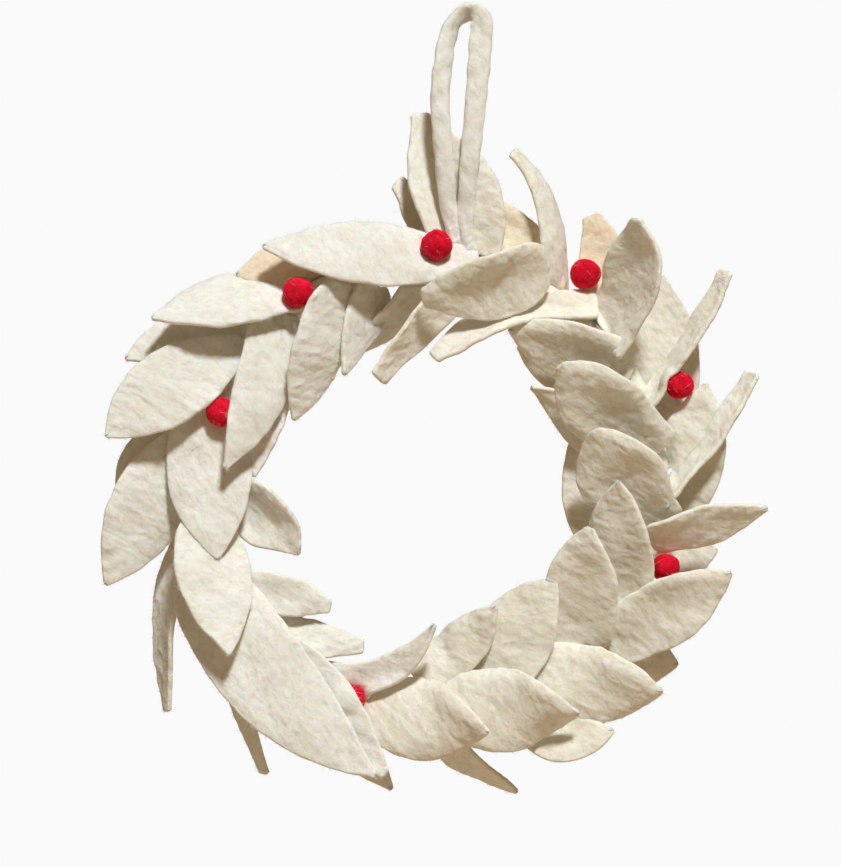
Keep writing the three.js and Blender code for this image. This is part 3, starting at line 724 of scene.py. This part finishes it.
cream_wool = wool("cream_fibre", (0.9, 0.87, 0.78), (0.97, 0.96, 0.92))
red_wool = wool("red_fibre", (0.72, 0.01, 0.03), (0.85, 0.16, 0.18))
# Felts in the cooler copy, painted sunlight, and felts in the plain cream
painted_sunlit, plain = (
    [felt(f"felt_{name}_{i}", *tints, GLOW, 0.0016, DOWN, 0.13 * i, 0.45 * i) for i in range(3)]
    for name, tints in (("painted_sunlit", PAINTED_SUNLIT_CREAM), ("plain", CREAM))
)
# The warm felt: a painted glow of light shining through felt
painted_backlight_felt = felt("felt_painted_backlight", *PAINTED_BACKLIGHT_CREAM, GLOW, 0.0016, DOWN, 0.5, 0.8)
# The strap gets the cooler copy: painted sunlight
strap_felt = felt("felt_strap", *PAINTED_SUNLIT_CREAM, GLOW, 0.0016, DOWN, 0.9)
BALL_TINTS = ((0.70, 0.002, 0.022), (0.86, 0.010, 0.045), (0.36, 0.001, 0.008))
red_felt = felt("felt_red", *BALL_TINTS, (1.0, 0.1, 0.15), 0.0006, (0.05, (1, 0.4, 0.45)), 0.5, 0.0, 1.0)


# Leaves: three of them get a painted backlit glow, a warm copy of the cream standing for light shining
# through them
painted_backlight_leaves = dict.fromkeys(["leaf_loop_3_a", "leaf_upper_left_2", "leaf_upper_right_2"], [painted_backlight_felt])
for index, (name, rows) in enumerate(LEAVES.items()):
    for k, row in enumerate(rows):
        made = leaf_sheet(row, index, 100 + index * 3 + k)
        points, faces, uvs = grid_mesh([made])
        label = name if len(rows) == 1 else f"{name}_{'ab'[k]}"
        edge = np.zeros(made["front"].shape[:2], bool)
        edge[:, :5] = edge[:, -5:] = edge[-4:, ::5] = True
        seed = 5000 + index * 7 + k
        count = int(RIM_FIBRES * made["length"] * min(row["width"] / 38, 1) ** 2)
        on_rim = loose_fibres(made["front"][edge], made["rim"][edge], seed, count, (1.2, 4.5), (0.5, 2.0))
        count = int(FACE_FIBRES * made["area"])
        face, outward, room = made["front"][~edge], made["outward"][~edge], made["room"][~edge]
        on_face = loose_fibres(face, outward, seed + 1, count, (2, 6), (0.08, 0.45), room)
        # The three listed leaves get the painted backlit glow; the others on the left get the cooler felts,
        # painted sunlight
        kinds = painted_backlight_leaves.get(label) or (painted_sunlit if "left" in name else plain)
        strands = [(*on_rim, cream_wool), (*on_face, cream_wool)]
        obj = mesh_object(label + "_felt", points, faces, kinds[(index + k) % len(kinds)], uvs, strands)
        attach(obj, "root")
        if k == 0:
            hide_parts(name)


def felted_ball(name, place, radius, seed):
    """A hand-rolled ball: a sphere with soft lumps, slightly flat."""
    around, down = 72, 44
    theta = np.linspace(0, 2 * math.pi, around, endpoint=False)
    phi = np.linspace(0, math.pi, down + 1)[1:-1]
    ring = np.stack(
        [
            np.sin(phi)[:, None] * np.cos(theta)[None, :],
            np.sin(phi)[:, None] * np.sin(theta)[None, :],
            np.broadcast_to(np.cos(phi)[:, None], (down - 1, around)),
        ],
        -1,
    ).reshape(-1, 3)
    way = np.concatenate([ring, [[0, 0, 1], [0, 0, -1]]])
    broad = ripples(seed, 5, 9, 17)
    fine = ripples(seed + 50, 8, 2.4, 5)
    a, b, c = (way * radius).T
    lumps = 0.16 * (broad(a, b) + broad(c, a)) + 0.05 * (fine(a + c, b) + fine(c, a - b))
    points = way * (radius - 0.15 + lumps)[:, None] * np.array([1, 1, BALL_FLATNESS]) + point(place)
    grid = np.arange((down - 1) * around).reshape(down - 1, around)
    after = np.roll(grid, -1, 1)
    quads = np.stack([grid[:-1], grid[1:], after[1:], after[:-1]], -1).reshape(-1, 4).tolist()
    top, bottom = (down - 1) * around, (down - 1) * around + 1
    caps = [[top, int(p), int(q)] for p, q in zip(grid[0], after[0])]
    caps += [[bottom, int(q), int(p)] for p, q in zip(grid[-1], after[-1])]
    fluff = loose_fibres(points, way, seed, BALL_FIBRES["fluff"], (0.8, 3), (0.3, 1.2), thickness=0.1)
    hairs = loose_fibres(points, way, seed + 1, BALL_FIBRES["hairs"], (4, 9), (0.1, 0.3), thickness=0.1)
    strands = [(*fluff, red_wool), (*hairs, cream_wool)]
    return mesh_object(name, points, quads + caps, red_felt, strands=strands)


for index, (name, (*place, radius)) in enumerate(BALLS.items()):
    ball = felted_ball(name + "_felt", place, radius, 900 + index)
    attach(ball, "root")
    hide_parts(name)


def tube(rings, closed):
    """Quads round a stack of rings, with capped ends when it is open."""
    count, size = rings.shape[:2]
    grid = np.arange(count * size).reshape(count, size)
    below = np.roll(grid, -1, 0) if closed else grid[1:]
    above = grid if closed else grid[:-1]
    quads = np.stack([above, np.roll(above, -1, 1), np.roll(below, -1, 1), below], -1).reshape(-1, 4)
    return rings.reshape(-1, 3), quads, grid


# The core ring: wadding wound round with narrow strips of felt
def wrapped_core():
    steps, sides = 420, 26
    angle = np.linspace(0, 2 * math.pi, steps, endpoint=False)
    turn = np.linspace(0, 2 * math.pi, sides, endpoint=False)
    outward = np.stack([np.cos(angle), 0 * angle, np.sin(angle)], -1)
    size = np.array([RING["half_width"], 0, RING["half_height"]])
    middle = np.array([RING["x"], 0, RING["z"]]) + outward * size
    strips = (CORE_WRAPS * angle[:, None] / (2 * math.pi) + turn[None, :] / (2 * math.pi)) % 1
    lap = 0.45 * (strips - 0.5) - 0.35 * np.exp(-(((strips - 0.02) / 0.05) ** 2))
    spoke = outward[:, None, :] * np.cos(turn)[None, :, None] - VIEWER * np.sin(turn)[None, :, None]
    rings = middle[:, None, :] + spoke * (CORE_RADIUS - 0.25 + lap)[..., None]
    points, quads, _ = tube(rings, True)
    return mesh_object("core_ring_felt", points, quads, plain[2])


core = wrapped_core()
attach(core, "root")
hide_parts("core_ring")


def catmull(places, steps):
    """Points on a smooth line through the places, spaced by the root of their distance."""
    places = np.array(places, float)
    ends = np.concatenate([[2 * places[0] - places[1]], places, [2 * places[-1] - places[-2]]])
    out = []
    for step in range(steps + 1):
        at = step / steps * (len(places) - 1)
        i = min(int(at), len(places) - 2)
        p0, p1, p2, p3 = ends[i : i + 4]
        t = at - i
        d0, d1, d2 = (max(np.linalg.norm(b - a) ** 0.5, 1e-6) for a, b in ((p0, p1), (p1, p2), (p2, p3)))
        m1 = ((p1 - p0) / d0 - (p2 - p0) / (d0 + d1) + (p2 - p1) / d1) * d1
        m2 = ((p2 - p1) / d1 - (p3 - p1) / (d1 + d2) + (p3 - p2) / d2) * d1
        c2, c3 = -3 * p1 + 3 * p2 - 2 * m1 - m2, 2 * p1 - 2 * p2 + m1 + m2
        out.append(p1 + m1 * t + c2 * t**2 + c3 * t**3)
    return np.array(out)


def strap():
    steps, sides = 300, 32
    line = catmull([point(row[:3]) for row in STRAP_LINE], steps)
    ahead = unit(np.gradient(line, axis=0))
    places = np.linspace(0, len(STRAP_LINE) - 1, steps + 1)
    table = np.array([row[3:] for row in STRAP_LINE], float)
    width = np.interp(places, np.arange(len(table)), table[:, 0])
    turn = np.radians(np.interp(places, np.arange(len(table)), table[:, 1]))
    side = unit(np.cross(VIEWER, ahead))
    face = np.cross(ahead, side)
    across = side * np.cos(turn)[:, None] + face * np.sin(turn)[:, None]
    front = face * np.cos(turn)[:, None] - side * np.sin(turn)[:, None]
    length = np.concatenate([[0], np.cumsum(np.linalg.norm(np.diff(line, axis=0), axis=1))])
    around = np.linspace(0, 2 * math.pi, sides, endpoint=False)
    cos, sin = np.cos(around), np.sin(around)
    flat = np.sign(cos) * np.abs(cos) ** 0.9
    thick = np.sign(sin) * np.abs(sin) ** 0.95
    wobble = ripples(71, 6, 8, 40)
    edge = 1 + STRAP_WOBBLE * wobble(length, 0)
    ends = np.sqrt(np.clip(np.minimum(length, length[-1] - length) / 1.6, 0.02, 1))
    soft = ripples(72, 8, 5, 22)
    pucker = ripples(73, 6, 3.5, 8)
    foot = np.exp(-((np.minimum(length, length[-1] - length) / 18) ** 2))[:, None]
    lumps = STRAP_LUMPS * soft(length[:, None], flat[None, :] * 6)
    lumps = lumps + STRAP_LUMPS * foot * pucker(length[:, None], flat[None, :] * 6)
    broad = (width * edge / 2 * ends)[:, None] * flat
    deep = (STRAP_THICKNESS / 2 * ends)[:, None] * thick * 1.05 + lumps * ends[:, None]
    rings = line[:, None, :] + across[:, None, :] * broad[..., None] + front[:, None, :] * deep[..., None]
    points, quads, grid = tube(rings, False)
    faces = quads.tolist() + [grid[0][::-1].tolist(), grid[-1].tolist()]
    outward = unit(rings - line[:, None, :]).reshape(-1, 3)
    fluff = loose_fibres(points, outward, 74, STRAP_FIBRES, (1.2, 4), (0.2, 1))
    obj = mesh_object("hanging_loop_felt", points, faces, strap_felt, strands=[(*fluff, cream_wool)])
    return obj, length[-1], area_under(width, length)


loop, loop_length, loop_area = strap()
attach(loop, "root")
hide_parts("hanging_loop")


# Stage: floor, light and camera
floor_mesh = bpy.data.meshes.new("floor")
spokes = [(3 * math.cos(a), 3 * math.sin(a), -1.4) for a in np.linspace(0, 2 * math.pi, 96, endpoint=False)]
floor_mesh.from_pydata(spokes, [], [list(range(96))])
floor = bpy.data.objects.new("floor", floor_mesh)
bpy.context.scene.collection.objects.link(floor)
pale = bpy.data.materials.new("pale_floor")
pale.use_nodes = True
pale.node_tree.nodes["Principled BSDF"].inputs["Base Color"].default_value = (0.62, 0.48, 0.33, 1)
pale.node_tree.nodes["Principled BSDF"].inputs["Roughness"].default_value = 0.9
floor_mesh.materials.append(pale)

world = bpy.data.worlds.new("studio")
bpy.context.scene.world = world
world.use_nodes = True
tree = world.node_tree
light = tree.nodes["Background"]
light.inputs["Color"].default_value = (1.0, 0.72, 0.43, 1)
light.inputs["Strength"].default_value = 0.188
seen = node(tree, "ShaderNodeBackground")
seen.inputs["Color"].default_value = (0.955, 0.955, 0.955, 1)
which = node(tree, "ShaderNodeMixShader")
ray = node(tree, "ShaderNodeLightPath")
tree.links.new(ray.outputs["Is Camera Ray"], which.inputs[0])
tree.links.new(light.outputs[0], which.inputs[1])
tree.links.new(seen.outputs[0], which.inputs[2])
tree.links.new(which.outputs[0], tree.nodes["World Output"].inputs[0])

lamp = bpy.data.lights.new("sun", "SUN")
lamp.energy = 2.95
lamp.angle = math.radians(8)
lamp.color = (0.945, 0.985, 1.0)
sun = bpy.data.objects.new("sun", lamp)
sun.rotation_euler = Vector((0.15, -0.66, 0.735)).to_track_quat("Z", "Y").to_euler()
bpy.context.scene.collection.objects.link(sun)

DISTANCE = 3.0
FRAME_HEIGHT = 0.5196
WREATH_FRONT = 0.012
VIEW_MIDDLE = (3.3, 41.4)
camera_data = bpy.data.cameras.new("camera")
camera_data.sensor_width = 36
camera_data.sensor_fit = "AUTO"
camera_data.lens = camera_data.sensor_width * (DISTANCE - WREATH_FRONT) / FRAME_HEIGHT
camera_data.clip_end = 50
camera = bpy.data.objects.new("camera", camera_data)
view_x, view_z = ((middle - hook) * 0.001 for middle, hook in zip(VIEW_MIDDLE, HANG_POINT))
camera.location = (view_x, -DISTANCE, view_z)
camera.rotation_euler = (math.pi / 2, 0, 0)
bpy.context.scene.collection.objects.link(camera)
bpy.context.scene.camera = camera
bpy.context.scene.view_settings.view_transform = "Standard"
